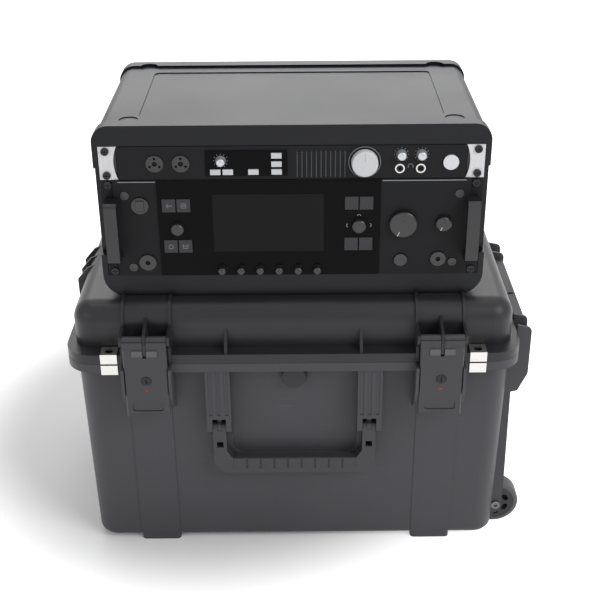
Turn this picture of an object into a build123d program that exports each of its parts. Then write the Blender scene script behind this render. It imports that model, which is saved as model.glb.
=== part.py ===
"""Moulded transit case with a removable 19-inch rack shell standing on its lid.

Millimetres, +Z up, the case's front towards -Y. Sizes are first given about the middle
of the case body; each finished piece is then set so that the origin lies under the
middle of the whole object.
"""

import os

from build123d import *

# Case body
body_w, body_d = 584.0, 340.0
draft_x, draft_y = 6.0, 4.0
corner_r = 28.0
wall = 4.0
foot_h = 5.0
parting_z = 312.0
lid_top_z = 385.0
lid_edge_r = 26.0
body_edge_r = 12.0
flange_h = 13.0
flange_side, flange_front = 10.0, 22.0
flange_d = body_d + 2 * flange_front
bracket_reach = 13.5
seal_gap = 0.3
foot_w, foot_d, foot_x = 56.0, 46.0, 195.0

# Rear hinge
hinge_y = flange_d / 2 + 7.0
hinge_x, hinge_len = 150.0, 120.0
knuckle_r = 6.4
pin_r = 2.5
pin_fit = 0.04
play = 0.4

# Front latches
latch_x = 193.0
latch_w = 57.0
latch_bottom_z = 240.0
latch_pivot_z = 351.5
latch_pivot_y = -flange_d / 2 - 6.5
latch_front_y = -flange_d / 2 - 15.0
latch_thick = 6.0
rib_t = 4.0
lock_r, lock_z = 6.5, 295.0
trigger_w, trigger_h = 33.0, 11.0

# Padlock plates
padlock_x, padlock_w, padlock_t = 242.3, 22.0, 2.0
padlock_hole_r, padlock_hole_y = 5.5, -flange_d / 2 + 8.0

# Carry handle
pillar_x, pillar_w = 102.0, 33.0
pillar_bottom_z, pillar_front_y = 192.0, -body_d / 2 - 17.0
handle_pivot_z, handle_pivot_y = 203.5, -body_d / 2 - 8.0
handle_pin_r = 4.0
arm_w, arm_d = 18.0, 14.0
tongue_w = 5.6
grip_low_z, grip_high_z = 131.0, 165.0
grip_pad_x, grip_pad_t = 85.0, 3.0
field_depth, field_low_z, field_r = 8.0, 151.0, 16.0

# Purge valve
valve_r, valve_z, valve_proud = 18.5, 277.0, 8.0

# Right-hand end: wheels and pull handle
wheel_r, wheel_w, wheel_y = 34.0, 26.0, 117.0
wheel_x = body_w / 2 + 2.0
tyre_t = 6.0
axle_r = 4.0
cheek_gap = 1.0
channel_out_x = body_w / 2 + 10.0
housing_out_x = body_w / 2 + 30.5
housing_low_z, housing_top_z = 231.0, 330.0
pull_tower_y, pull_tower_w, pull_tower_top_z = 83.0, 30.0, 292.0
tube_w, tube_d, tube_t = 13.0, 15.0, 1.5
tube_x = housing_out_x - 11.0
pull_grip_z, pull_grip_h = 300.0, 24.0
pull_travel = 45.0

# Rack shell
rack_w, rack_h = 498.0, 235.0
rack_front_y, rack_back_y = -138.0, 147.0
rack_wall = 4.0
rack_top_r, rack_low_r = 22.0, 30.0
band_w, band_proud = 20.0, 3.0
top_dish = 1.2
cutback, cutback_low_z, cutback_high_z = 12.0, 445.0, 565.0
opening_low_z, unit_h, unit_count = 416.0, 44.45, 4
rack_rest = 0.3
panel_w, panel_gap, panel_t = 482.6, 0.8, 3.0
hole_span = 465.1
rail_w, rail_t = 18.0, 3.0

# Rack units
chassis_w, sheet_t = 440.0, 1.5
chassis_1u_d, chassis_3u_d = 230.0, 180.0
ear_screw_r = 5.0
seat = 0.3
key_travel, key_depth = 1.0, 1.4
trigger_proud = 1.5

# Places of the keys on the two faces, as (x, z)
slim_keys = ((-95.9, 560), (-80.2, 560), (-48.2, 560), (-19.1, 581.4), (-19.1, 570.3), (-19.1, 560))
slim_key_w, slim_key_h = 13.0, 7.0
tall_key_w, tall_key_h, tall_key_step = 17.0, 17.5, 18.8
tall_keys = {"upper_left": (-156.8, 516.1), "lower_left": (-156.8, 459.5),
             "upper_right": (75.4, 518.0), "lower_right": (75.4, 461.3)}
power_at, power_r = (198.8, 571.4), 9.8
round_key_at, round_key_r = (139.9, 437.6), 8.4
rocker_at, rocker_w, rocker_h = (-193.4, 515.8), 10.0, 14.0

left_x = -(body_w / 2 + bracket_reach)
right_x = wheel_x + wheel_r
front_y = latch_front_y - trigger_proud
back_y = hinge_y + knuckle_r
origin_x = (left_x + right_x) / 2
origin_y = (front_y + back_y) / 2

flange_w = body_w + 2 * flange_side
flange_r = corner_r + flange_side
lid_low_z = parting_z + seal_gap
inner_w, inner_d = body_w - 2 * wall, body_d - 2 * wall
inner_r = corner_r - wall
body_front = -body_d / 2
flange_face = -flange_d / 2
body_side = body_w / 2
end_in_x = body_side - draft_x - 3
rack_low_z = lid_top_z + rack_rest
rack_top_z = rack_low_z + rack_h
opening_h = unit_h * unit_count
opening_top_z = opening_low_z + opening_h

os.makedirs("parts", exist_ok=True)


def finish(piece, name):
    """Set a piece in the object's frame, label it and write its file."""
    placed = piece.moved(Location((-origin_x, -origin_y, 0)))
    placed.label = name
    export_step(placed, f"parts/{name}.step")


def block(x, y, z, mode=Mode.ADD):
    """A plain block between three pairs of limits."""
    with Locations(((x[0] + x[1]) / 2, (y[0] + y[1]) / 2, (z[0] + z[1]) / 2)):
        Box(x[1] - x[0], y[1] - y[0], z[1] - z[0], mode=mode)


def rod_x(y, z, r, x0, x1, mode=Mode.ADD):
    with Locations(Location(((x0 + x1) / 2, y, z), (0, 90, 0))):
        Cylinder(r, x1 - x0, mode=mode)


def rod_y(x, z, r, y0, y1, mode=Mode.ADD):
    with Locations(Location((x, (y0 + y1) / 2, z), (90, 0, 0))):
        Cylinder(r, y1 - y0, mode=mode)


def rod_z(x, y, r, z0, z1, mode=Mode.ADD):
    with Locations((x, y, (z0 + z1) / 2)):
        Cylinder(r, z1 - z0, mode=mode)


def side_plane(x):
    """Sketch plane at one X: its own x runs along +Y, its own y along +Z."""
    return Plane(origin=(x, 0, 0), x_dir=(0, 1, 0), z_dir=(1, 0, 0))


def face_plane(y):
    """Sketch plane at one Y, looked at from the front: x along +X, y along +Z."""
    return Plane(origin=(0, y, 0), x_dir=(1, 0, 0), z_dir=(0, -1, 0))


# Case base: tub, rim, feet, latch ribs, handle pillars, wheel boxes, pull housing
def tub_ring(z0, z1):
    with BuildSketch(Plane.XY.offset(z0)) as ring:
        RectangleRounded(flange_w, flange_d, flange_r)
    extrude(ring.sketch, amount=z1 - z0)


knuckles = 5
knuckle_len = hinge_len / knuckles


def hinge_knuckles(first, low_z, high_z):
    """Every second knuckle of both rear hinges, with the web that carries it."""
    for side in (-1, 1):
        for i in range(first, knuckles, 2):
            x0 = side * hinge_x - hinge_len / 2 + i * knuckle_len + play / 2
            x1 = x0 + knuckle_len - play
            block((x0, x1), (-flange_face - 6, hinge_y), (low_z, high_z))
            rod_x(hinge_y, parting_z, knuckle_r, x0, x1)


def drafted(z0, z1, shrink):
    """The tub's outline between two levels, narrower at the bottom by the draft."""
    sections = []
    for z in (z0, z1):
        drop = (parting_z - z) / (parting_z - foot_h)
        with BuildSketch(Plane.XY.offset(z)) as outline:
            RectangleRounded(body_w - 2 * (shrink + draft_x * drop), body_d - 2 * (shrink + draft_y * drop),
                             corner_r - shrink)
        sections.append(outline.sketch)
    loft(sections)


with BuildPart() as tub_cavity:
    drafted(foot_h + wall, parting_z + wall, wall)
    fillet(tub_cavity.edges().group_by(Axis.Z)[0], body_edge_r - wall)

with BuildPart() as base_shell:
    drafted(foot_h, parting_z, 0)
    fillet(base_shell.edges().group_by(Axis.Z)[0], body_edge_r)
    tub_ring(parting_z - flange_h, parting_z)
    rim = base_shell.faces().sort_by(Axis.Z)[-1]
    chamfer(rim.outer_wire().edges(), 0.8)

    # Feet: two rows of blocks, flush with the front and the back
    for side_x in (-foot_x, foot_x):
        for side_y in (-1, 1):
            centre_y = side_y * (body_d / 2 - draft_y - foot_d / 2)
            with BuildSketch(Plane.XY) as foot:
                with Locations((side_x, centre_y)):
                    RectangleRounded(foot_w, foot_d, 6)
            extrude(amount=foot_h + body_edge_r)
    # Shallow relief that runs from each latch down to its foot
    for side_x in (-foot_x, foot_x):
        for s in (-1, 1):
            low, high = foot_h + body_edge_r - 4, parting_z - flange_h
            with BuildSketch(side_plane(side_x - foot_w / 2)):
                with BuildLine():
                    Polyline((s * (body_d / 2 - 6), low), (s * (body_d / 2 - draft_y + 1.2), low),
                             (s * (body_d / 2 + 1.2), high), (s * (body_d / 2 - 6), high), close=True)
                make_face()
            extrude(amount=foot_w)

    # Ribs beside each latch, under the rim
    for side_x in (-latch_x, latch_x):
        for edge in (-1, 1):
            x = side_x + edge * (latch_w / 2 + rib_t / 2 + play)
            with BuildSketch(side_plane(x - rib_t / 2)):
                with BuildLine():
                    Polyline((body_front + 6, latch_bottom_z - 12), (body_front - 8, latch_bottom_z - 4),
                             (flange_face - 8, latch_bottom_z + 14), (latch_front_y - 0.5, latch_bottom_z + 36),
                             (latch_front_y - 0.5, parting_z - 1), (body_front + 6, parting_z - 1), close=True)
                make_face()
            extrude(amount=rib_t)

    # Pillars that carry the handle, each a ribbed fork open at the bottom
    for side_x in (-pillar_x, pillar_x):
        with BuildSketch(side_plane(side_x - pillar_w / 2)):
            with BuildLine():
                Polyline((body_front + 6, pillar_bottom_z - 8), (pillar_front_y + 10, pillar_bottom_z),
                         (pillar_front_y, pillar_bottom_z + 9), (pillar_front_y, parting_z - flange_h + 1),
                         (body_front + 6, parting_z - flange_h + 1), close=True)
            make_face()
        extrude(amount=pillar_w)
        block((side_x - arm_w / 2 - play, side_x + arm_w / 2 + play),
              (pillar_front_y - 5, body_front), (pillar_bottom_z - 10, handle_pivot_z + 17),
              mode=Mode.SUBTRACT)
        for groove in (-10.5, 0, 10.5):
            block((side_x + groove - 2.4, side_x + groove + 2.4), (pillar_front_y - 1, pillar_front_y + 1),
                  (handle_pivot_z + 23, parting_z - flange_h - 4), mode=Mode.SUBTRACT)
        # Tongue between the two tines of the handle's arm
        block((side_x - tongue_w / 2, side_x + tongue_w / 2), (handle_pivot_y, body_front),
              (handle_pivot_z, handle_pivot_z + 18))
        rod_x(handle_pivot_y, handle_pivot_z, arm_d / 2, side_x - tongue_w / 2, side_x + tongue_w / 2)
        rod_x(handle_pivot_y, handle_pivot_z, handle_pin_r + pin_fit,
              side_x - pillar_w / 2 - 1, side_x + pillar_w / 2 + 1, mode=Mode.SUBTRACT)

    # Pull handle housing and wheel cheeks on the right-hand end
    for side in (-1, 1):
        cheek_in = wheel_y - wheel_w / 2 - cheek_gap
        cheek_out = wheel_y + wheel_w / 2 + cheek_gap
        for y0, y1 in ((cheek_in - rib_t, cheek_in), (cheek_out, cheek_out + rib_t)):
            y_near = min(side * y0, side * y1)
            with BuildSketch(face_plane(y_near)):
                with BuildLine():
                    Polyline((end_in_x, foot_h + body_edge_r), (wheel_x + 2, 20),
                             (channel_out_x, 27), (channel_out_x + 1, 70),
                             (channel_out_x - 1, housing_low_z + 10), (end_in_x, housing_low_z + 10),
                             close=True)
                make_face()
            extrude(amount=-rib_t)
            with BuildSketch(face_plane(y_near)) as wing:
                with BuildLine():
                    Polyline((end_in_x, housing_low_z - 6), (body_side + 18, housing_low_z),
                             (housing_out_x, housing_low_z + 28), (housing_out_x, housing_top_z),
                             (end_in_x, housing_top_z + 9), close=True)
                make_face()
                fillet(wing.vertices().group_by(Axis.X)[-1], 7)
            extrude(amount=-rib_t)
        block((end_in_x, body_side + 4), (min(side * cheek_in, side * cheek_out),
              max(side * cheek_in, side * cheek_out)), (75, housing_low_z + 20))
        block((housing_out_x - wall, housing_out_x), (min(side * cheek_in, side * cheek_out),
              max(side * cheek_in, side * cheek_out)), (housing_low_z + 40, housing_top_z - 12))
    # Floor of the pull recess and the two towers that guide the tubes
    with BuildSketch(face_plane(-cheek_in)):
        with BuildLine():
            Polyline((end_in_x, housing_low_z - 6), (body_side + 18, housing_low_z),
                     (housing_out_x, housing_low_z + 28), (housing_out_x, housing_low_z + 32),
                     (end_in_x, housing_low_z + 32), close=True)
        make_face()
    extrude(amount=-2 * cheek_in)
    for side in (-1, 1):
        block((end_in_x, housing_out_x),
              (side * pull_tower_y - pull_tower_w / 2, side * pull_tower_y + pull_tower_w / 2),
              (housing_low_z + 5, pull_tower_top_z))
        block((tube_x - tube_w / 2 - play / 2, tube_x + tube_w / 2 + play / 2),
              (side * pull_tower_y - tube_d / 2 - play / 2, side * pull_tower_y + tube_d / 2 + play / 2),
              (housing_low_z + 4, pull_tower_top_z + 1), mode=Mode.SUBTRACT)
    # Above the parting line the housing stands clear of the lid's rim
    block((body_side - 10, flange_w / 2 + 1.0), (-150, 150), (parting_z, housing_top_z + 20),
          mode=Mode.SUBTRACT)

    # Left-hand end: the bracket's lower ribs under the rim
    for y in (-32, 0, 32):
        with BuildSketch(face_plane(y - rib_t / 2)):
            with BuildLine():
                Polyline((-body_side + 6, 262), (-body_side - 6, 285),
                         (-body_side - bracket_reach + 1, parting_z - 2), (-body_side + 6, parting_z - 2), close=True)
            make_face()
        extrude(amount=-rib_t)

    add(tub_cavity.part, mode=Mode.SUBTRACT)
    # Recessed field between the pillars, with its own skin inside the front wall
    field_w, field_top_z = 2 * pillar_x - pillar_w, parting_z - flange_h
    block((-field_w / 2 - 6, field_w / 2 + 6), (body_front + 2, body_front + field_depth + wall),
          (field_low_z - 5, field_top_z + 5))
    with BuildSketch(face_plane(body_front - 0.1)):
        with Locations((0, (field_low_z + field_top_z) / 2)):
            RectangleRounded(field_w, field_top_z - field_low_z, field_r)
    extrude(amount=-field_depth - 0.1, mode=Mode.SUBTRACT)
    # Boxed-in wheel arches
    for side in (-1, 1):
        block((wheel_x - wheel_r - 8, body_side - 1),
              (side * wheel_y - wheel_w / 2 - 5, side * wheel_y + wheel_w / 2 + 5),
              (foot_h + 1, 2 * wheel_r + 12))
        rod_y(wheel_x, wheel_r, wheel_r + 3, side * wheel_y - wheel_w / 2 - cheek_gap,
              side * wheel_y + wheel_w / 2 + cheek_gap, mode=Mode.SUBTRACT)
        block((wheel_x - wheel_r - 3, housing_out_x), (side * wheel_y - wheel_w / 2 - cheek_gap,
              side * wheel_y + wheel_w / 2 + cheek_gap), (0, wheel_r), mode=Mode.SUBTRACT)
        rod_y(wheel_x, wheel_r, axle_r + pin_fit, side * wheel_y - wheel_w / 2 - 7,
              side * wheel_y + wheel_w / 2 + 7, mode=Mode.SUBTRACT)

    # Rear hinge knuckles, and room for the lid's knuckles
    hinge_knuckles(0, parting_z - flange_h, parting_z)
    for side in (-1, 1):
        rod_x(hinge_y, parting_z, pin_r + pin_fit,
              side * hinge_x - hinge_len / 2 - 1, side * hinge_x + hinge_len / 2 + 1, mode=Mode.SUBTRACT)
        for i in range(1, knuckles, 2):
            x0 = side * hinge_x - hinge_len / 2 + i * knuckle_len - play / 2
            rod_x(hinge_y, parting_z, knuckle_r + play, x0, x0 + knuckle_len + play, mode=Mode.SUBTRACT)

    # Groove for the lid seal
    with BuildSketch(Plane.XY.offset(parting_z - 4)):
        RectangleRounded(inner_w + 18, inner_d + 18, inner_r + 9)
        RectangleRounded(inner_w + 8, inner_d + 8, inner_r + 4, mode=Mode.SUBTRACT)
    extrude(amount=5, mode=Mode.SUBTRACT)
    # Bolt hole and seat of the purge valve
    rod_y(0, valve_z, 7, body_front - 5, body_front + field_depth + wall + 1, mode=Mode.SUBTRACT)
    # Padlock holes through the rim
    for side in (-1, 1):
        rod_z(side * padlock_x, padlock_hole_y, padlock_hole_r + 0.5,
              parting_z - 60, parting_z + 1, mode=Mode.SUBTRACT)
finish(base_shell.part, "base_shell")

with BuildPart() as lid_gasket:
    with BuildSketch(Plane.XY.offset(parting_z - 4)):
        RectangleRounded(inner_w + 17.4, inner_d + 17.4, inner_r + 8.7)
        RectangleRounded(inner_w + 8.6, inner_d + 8.6, inner_r + 4.3, mode=Mode.SUBTRACT)
    extrude(amount=4)
finish(lid_gasket.part, "lid_gasket")

with BuildPart() as case_pins:
    for side in (-1, 1):
        rod_x(hinge_y, parting_z, pin_r, side * hinge_x - hinge_len / 2, side * hinge_x + hinge_len / 2)
        rod_x(handle_pivot_y, handle_pivot_z, handle_pin_r,
              side * pillar_x - pillar_w / 2, side * pillar_x + pillar_w / 2)
        low_y, high_y = side * wheel_y - wheel_w / 2 - 5, side * wheel_y + wheel_w / 2 + 5
        rod_y(wheel_x, wheel_r, axle_r, low_y, high_y)
        # Low hexagon-socket head on the outer cheek
        outer = low_y if side < 0 else high_y
        rod_y(wheel_x, wheel_r, 6.5, min(outer, outer + side * 2.5), max(outer, outer + side * 2.5))
        with BuildSketch(Plane(origin=(wheel_x, outer + side * 2.5, wheel_r), x_dir=(1, 0, 0),
                               z_dir=(0, side, 0))):
            RegularPolygon(3.2, 6)
        extrude(amount=-2, mode=Mode.SUBTRACT)
finish(case_pins.part, "case_pins")


# Padlock plates: bent over the rim's edge, each with a round hole
def padlock_plates(z_flat, z_far, name):
    """Plates on the rim's flat side, turned over its front edge."""
    up = 1 if z_flat > z_far else -1
    with BuildPart() as plates:
        for side in (-1, 1):
            x0 = side * padlock_x - padlock_w / 2
            x1 = side * padlock_x + padlock_w / 2
            lo, hi = sorted((z_flat, z_flat + up * padlock_t))
            block((x0, x1), (flange_face - padlock_t, padlock_hole_y + 12), (lo, hi))
            lo, hi = sorted((z_far, z_flat + up * padlock_t))
            block((x0, x1), (flange_face - padlock_t, flange_face), (lo, hi))
            rod_z(side * padlock_x, padlock_hole_y, padlock_hole_r,
                  z_flat - 10, z_flat + 10, mode=Mode.SUBTRACT)
    finish(plates.part, name)


padlock_plates(parting_z - flange_h, parting_z - 1, "base_padlock_plates")
padlock_plates(lid_low_z + flange_h, lid_low_z + 1, "lid_padlock_plates")

# Pressure purge valve
with BuildPart() as purge_valve:
    seat_y = body_front + field_depth
    rod_y(0, valve_z, 6.8, seat_y, seat_y + 9)
    rod_y(0, valve_z, valve_r, seat_y - 4, seat_y)
    rod_y(0, valve_z, valve_r - 2.5, seat_y - valve_proud - 2, seat_y - 4)
finish(purge_valve.part, "purge_valve")

# Lid: shallow tub upside down, with rim, latch brackets, gussets and hinge knuckles
with BuildPart() as lid_cavity:
    with BuildSketch(Plane.XY.offset(lid_low_z - 1)):
        RectangleRounded(inner_w, inner_d, inner_r)
    extrude(amount=lid_top_z - wall - lid_low_z + 1)
    fillet(lid_cavity.edges().group_by(Axis.Z)[-1], lid_edge_r - wall)

with BuildPart() as lid_shell:
    with BuildSketch(Plane.XY.offset(lid_low_z)):
        RectangleRounded(body_w, body_d, corner_r)
    extrude(amount=lid_top_z - lid_low_z)
    fillet(lid_shell.edges().group_by(Axis.Z)[-1], lid_edge_r)
    tub_ring(lid_low_z, lid_low_z + flange_h)
    for side_x in (-latch_x, latch_x):
        bend_y, bend_z = body_front + lid_edge_r, lid_top_z - lid_edge_r
        for edge in (-1, 1):
            x = side_x + edge * (latch_w / 2 + rib_t / 2 + play)
            reach = lid_edge_r + 4
            with BuildSketch(side_plane(x - rib_t / 2)):
                with BuildLine():
                    Line((bend_y + 5, bend_z + reach), (bend_y, bend_z + reach))
                    ThreePointArc((bend_y, bend_z + reach), (bend_y - reach * 0.7071, bend_z + reach * 0.7071),
                                  (bend_y - reach, bend_z))
                    Polyline((bend_y - reach, bend_z), (latch_pivot_y - 5, latch_pivot_z + 6),
                             (latch_pivot_y - 6, latch_pivot_z), (latch_pivot_y - 5, latch_pivot_z - 6),
                             (flange_face - 3, latch_pivot_z - 14), (flange_face - 3, lid_low_z + 1),
                             (body_front + 1, lid_low_z + 1), (bend_y + 5, lid_top_z - 12),
                             (bend_y + 5, bend_z + reach))
                make_face()
            extrude(amount=rib_t)
        # Middle rib: comes down in front through the latch's window
        with BuildSketch(side_plane(side_x - rib_t / 2)):
            with BuildLine():
                Polyline((bend_y - 14, bend_z + 14), (latch_pivot_y - 4, latch_pivot_z + 8),
                         (latch_front_y, latch_pivot_z - 4), (latch_front_y, latch_pivot_z - 19),
                         (latch_front_y + 6, latch_pivot_z - 20), (latch_pivot_y + 3, latch_pivot_z - 8),
                         (latch_pivot_y + 8, latch_pivot_z - 8), (body_front + 1, latch_pivot_z - 14),
                         (bend_y - 10, bend_z + 6), close=True)
            make_face()
        extrude(amount=rib_t)
        # Pad between the outer ribs, following the lid's rounded edge
        reach = lid_edge_r + 1.6
        with BuildSketch(side_plane(side_x - latch_w / 2 - 1)):
            with BuildLine():
                Line((bend_y + 5, bend_z + reach), (bend_y, bend_z + reach))
                ThreePointArc((bend_y, bend_z + reach), (bend_y - reach * 0.7071, bend_z + reach * 0.7071),
                              (bend_y - reach, bend_z))
                Polyline((bend_y - reach, bend_z), (bend_y - reach, lid_low_z + 1), (body_front + 1, lid_low_z + 1),
                         (bend_y + 5, lid_top_z - 12), (bend_y + 5, bend_z + reach))
            make_face()
        extrude(amount=latch_w + 2)
    # Gussets between the front wall and the rim
    for x in (-89, 89):
        with BuildSketch(side_plane(x - rib_t / 2)):
            with BuildLine():
                Polyline((body_front + 1, 354), (body_front - 18, lid_low_z + flange_h + 5),
                         (body_front - 20, lid_low_z + flange_h - 1),
                         (body_front + 1, lid_low_z + flange_h - 1), close=True)
            make_face()
        extrude(amount=rib_t)
    # Bracket on the left-hand end
    for y in (-32, 0, 32):
        with BuildSketch(face_plane(y - rib_t / 2)):
            with BuildLine():
                Polyline((-body_side + 12, lid_top_z - 4), (-body_side + 1, lid_top_z - 9),
                         (-body_side - bracket_reach, lid_top_z - 26),
                         (-body_side - bracket_reach, lid_low_z + flange_h + 10),
                         (-body_side - 9, lid_low_z + flange_h - 1),
                         (-body_side + 1, lid_low_z + flange_h - 1), close=True)
            make_face()
        extrude(amount=-rib_t)
    rod_y(-body_side - 7, 352, 5, -34, 34)
    add(lid_cavity.part, mode=Mode.SUBTRACT)
    hinge_knuckles(1, lid_low_z, lid_low_z + flange_h - 2)
    for side in (-1, 1):
        rod_x(hinge_y, parting_z, pin_r + pin_fit,
              side * hinge_x - hinge_len / 2 - 1, side * hinge_x + hinge_len / 2 + 1, mode=Mode.SUBTRACT)
        for i in range(0, knuckles, 2):
            x0 = side * hinge_x - hinge_len / 2 + i * knuckle_len - play / 2
            rod_x(hinge_y, parting_z, knuckle_r + play, x0, x0 + knuckle_len + play, mode=Mode.SUBTRACT)
        rod_z(side * padlock_x, padlock_hole_y, padlock_hole_r + 0.5,
              lid_low_z - 1, lid_low_z + flange_h + 5, mode=Mode.SUBTRACT)
        rod_x(latch_pivot_y, latch_pivot_z, pin_r + pin_fit,
              side * latch_x - latch_w / 2 - 10, side * latch_x + latch_w / 2 + 10, mode=Mode.SUBTRACT)
finish(lid_shell.part, "lid_shell")

with BuildPart() as latch_pins:
    for side_x in (-latch_x, latch_x):
        reach = latch_w / 2 + play + rib_t
        rod_x(latch_pivot_y, latch_pivot_z, pin_r, side_x - reach, side_x + reach)
finish(latch_pins.part, "latch_pins")


# Latches: an arched plate hung from the lid's ribs, with a trigger and a key lock
def latch(side_x, name):
    back_y = latch_front_y + latch_thick
    with BuildPart() as plate:
        with BuildSketch(face_plane(back_y)):
            with BuildLine():
                low, high = latch_bottom_z, latch_pivot_z - 9
                Line((side_x - latch_w / 2, low), (side_x - latch_w / 2, high))
                Line((side_x - latch_w / 2, high), (side_x + latch_w / 2, high))
                Line((side_x + latch_w / 2, high), (side_x + latch_w / 2, low))
                ThreePointArc((side_x + latch_w / 2, low), (side_x, low + 6), (side_x - latch_w / 2, low))
            make_face()
        extrude(amount=latch_thick)
        chamfer(plate.edges().filter_by(Axis.Z).group_by(Axis.Y)[0], 1.5)
        # Two barrels on the pin, either side of the lid's middle rib
        for edge in (-1, 1):
            x0 = side_x + edge * (rib_t / 2 + play)
            x1 = side_x + edge * (latch_w / 2)
            x0, x1 = min(x0, x1), max(x0, x1)
            with BuildSketch(side_plane(x0)):
                with BuildLine():
                    Polyline((latch_pivot_y + 2, latch_pivot_z), (latch_front_y + 1, latch_pivot_z),
                             (latch_front_y, high - 2), (back_y, high - 2), close=True)
                make_face()
                with Locations((latch_pivot_y, latch_pivot_z)):
                    Circle(5.5)
            extrude(amount=x1 - x0)
        rod_x(latch_pivot_y, latch_pivot_z, pin_r + pin_fit, side_x - 40, side_x + 40, mode=Mode.SUBTRACT)
        # Window of the trigger, the pocket for its bar behind the plate, and the middle rib's slot
        window = high - trigger_h
        block((side_x - trigger_w / 2 - seat, side_x + trigger_w / 2 + seat), (latch_front_y - 1, back_y + 1),
              (window, high - 2), mode=Mode.SUBTRACT)
        block((side_x - trigger_w / 2 - seat, side_x + trigger_w / 2 + seat), (back_y - 3, back_y + 1),
              (window - 10, window + 1), mode=Mode.SUBTRACT)
        block((side_x - rib_t / 2 - play, side_x + rib_t / 2 + play), (latch_front_y - 1, back_y + 1),
              (window - 2.5, high + 1), mode=Mode.SUBTRACT)
        # Shallow recess near the bottom, and the bore of the lock
        with BuildSketch(face_plane(latch_front_y)):
            with Locations((side_x, latch_bottom_z + 15)):
                RectangleRounded(latch_w - 16, 14, 4)
        extrude(amount=-1.5, mode=Mode.SUBTRACT)
        rod_y(side_x, lock_z, lock_r + play, latch_front_y - 1, back_y + 1, mode=Mode.SUBTRACT)
    finish(plate.part, f"latch_plate_{name}")

    with BuildPart() as trigger:
        # Two pads either side of the lid's middle rib, joined by a bar below it
        for edge in (-1, 1):
            x0, x1 = sorted((side_x + edge * (rib_t / 2 + play + seat), side_x + edge * trigger_w / 2))
            block((x0, x1), (latch_front_y - trigger_proud, back_y), (window + seat, high - 2 - seat))
            block((x0, x1), (back_y - 2.7, back_y), (window - 9.7, window + 2))
        block((side_x - trigger_w / 2, side_x + trigger_w / 2), (back_y - 2.7, back_y), (window - 9.7, window - 3))
    finish(trigger.part, f"latch_trigger_{name}")

    with BuildPart() as lock:
        rod_y(side_x, lock_z, lock_r, latch_front_y - 0.5, back_y)
        block((side_x - 0.7, side_x + 0.7), (latch_front_y - 1, latch_front_y + 1.5),
              (lock_z - 3.5, lock_z + 3.5), mode=Mode.SUBTRACT)
    finish(lock.part, f"latch_lock_{name}")


latch(-latch_x, "left")
latch(latch_x, "right")

# Carry handle: two arms with square windows, a chamfered grip and its soft pad
with BuildPart() as carry_handle:
    outer_x = pillar_x + arm_w / 2
    hang_y = handle_pivot_y - arm_d / 2
    for side_x in (-pillar_x, pillar_x):
        block((side_x - arm_w / 2, side_x + arm_w / 2), (hang_y, hang_y + arm_d),
              (grip_low_z + 14, handle_pivot_z))
        rod_x(handle_pivot_y, handle_pivot_z, arm_d / 2, side_x - arm_w / 2, side_x + arm_w / 2)
        block((side_x - 4.5, side_x + 4.5), (hang_y - 1, hang_y + arm_d + 1),
              (handle_pivot_z - 30, handle_pivot_z - 21), mode=Mode.SUBTRACT)
        # Room between the tines for the pillar's tongue
        rod_x(handle_pivot_y, handle_pivot_z, arm_d / 2 + play, side_x - tongue_w / 2 - play,
              side_x + tongue_w / 2 + play, mode=Mode.SUBTRACT)
    with BuildSketch(face_plane(hang_y + arm_d)):
        with BuildLine():
            Polyline((-outer_x, grip_high_z + 2), (-outer_x, grip_low_z + 15), (-outer_x + 15, grip_low_z),
                     (outer_x - 15, grip_low_z), (outer_x, grip_low_z + 15), (outer_x, grip_high_z + 2),
                     (outer_x - arm_w, grip_high_z + 2), (outer_x - arm_w - 8, grip_high_z - 10),
                     (-outer_x + arm_w + 8, grip_high_z - 10), (-outer_x + arm_w, grip_high_z + 2),
                     close=True)
        make_face()
    extrude(amount=arm_d)
    for side_x in (-pillar_x, pillar_x):
        rod_x(handle_pivot_y, handle_pivot_z, handle_pin_r + pin_fit, side_x - 20, side_x + 20,
              mode=Mode.SUBTRACT)
    # Seat of the soft pad along the middle of the grip
    block((-grip_pad_x, grip_pad_x), (hang_y - 1, hang_y + 2.5), (grip_low_z + 8, grip_high_z),
          mode=Mode.SUBTRACT)
finish(carry_handle.part, "carry_handle")

with BuildPart() as handle_pad:
    block((-grip_pad_x + 0.2, grip_pad_x - 0.2), (hang_y - 0.5, hang_y + 2.5),
          (grip_low_z + 8.2, grip_high_z - 10))
    for i in range(1, 9):
        x = -grip_pad_x + i * 2 * grip_pad_x / 9
        block((x - 1.2, x + 1.2), (hang_y - 1, hang_y + 0.7), (grip_low_z + 8, grip_high_z), mode=Mode.SUBTRACT)
finish(handle_pad.part, "handle_pad")


# Wheels: spoked hub and soft tyre, running on the axle
def wheel(side, name):
    y0, y1 = side * wheel_y - wheel_w / 2, side * wheel_y + wheel_w / 2
    hub_r = wheel_r - tyre_t
    with BuildPart() as hub:
        rod_y(wheel_x, wheel_r, hub_r, y0, y1)
        rod_y(wheel_x, wheel_r, axle_r + pin_fit, y0 - 1, y1 + 1, mode=Mode.SUBTRACT)
        with BuildSketch(face_plane(y0)):
            with Locations((wheel_x, wheel_r)):
                with PolarLocations(hub_r * 0.6, 6, start_angle=30):
                    SlotOverall(12, 7.5, rotation=90)
        extrude(amount=-wheel_w, mode=Mode.SUBTRACT)
    finish(hub.part, f"wheel_hub_{name}")
    with BuildPart() as tyre:
        rod_y(wheel_x, wheel_r, wheel_r, y0, y1)
        chamfer(tyre.edges().filter_by(GeomType.CIRCLE), 2.5)
        rod_y(wheel_x, wheel_r, hub_r, y0 - 1, y1 + 1, mode=Mode.SUBTRACT)
    finish(tyre.part, f"wheel_tyre_{name}")


wheel(-1, "front")
wheel(1, "rear")

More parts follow.
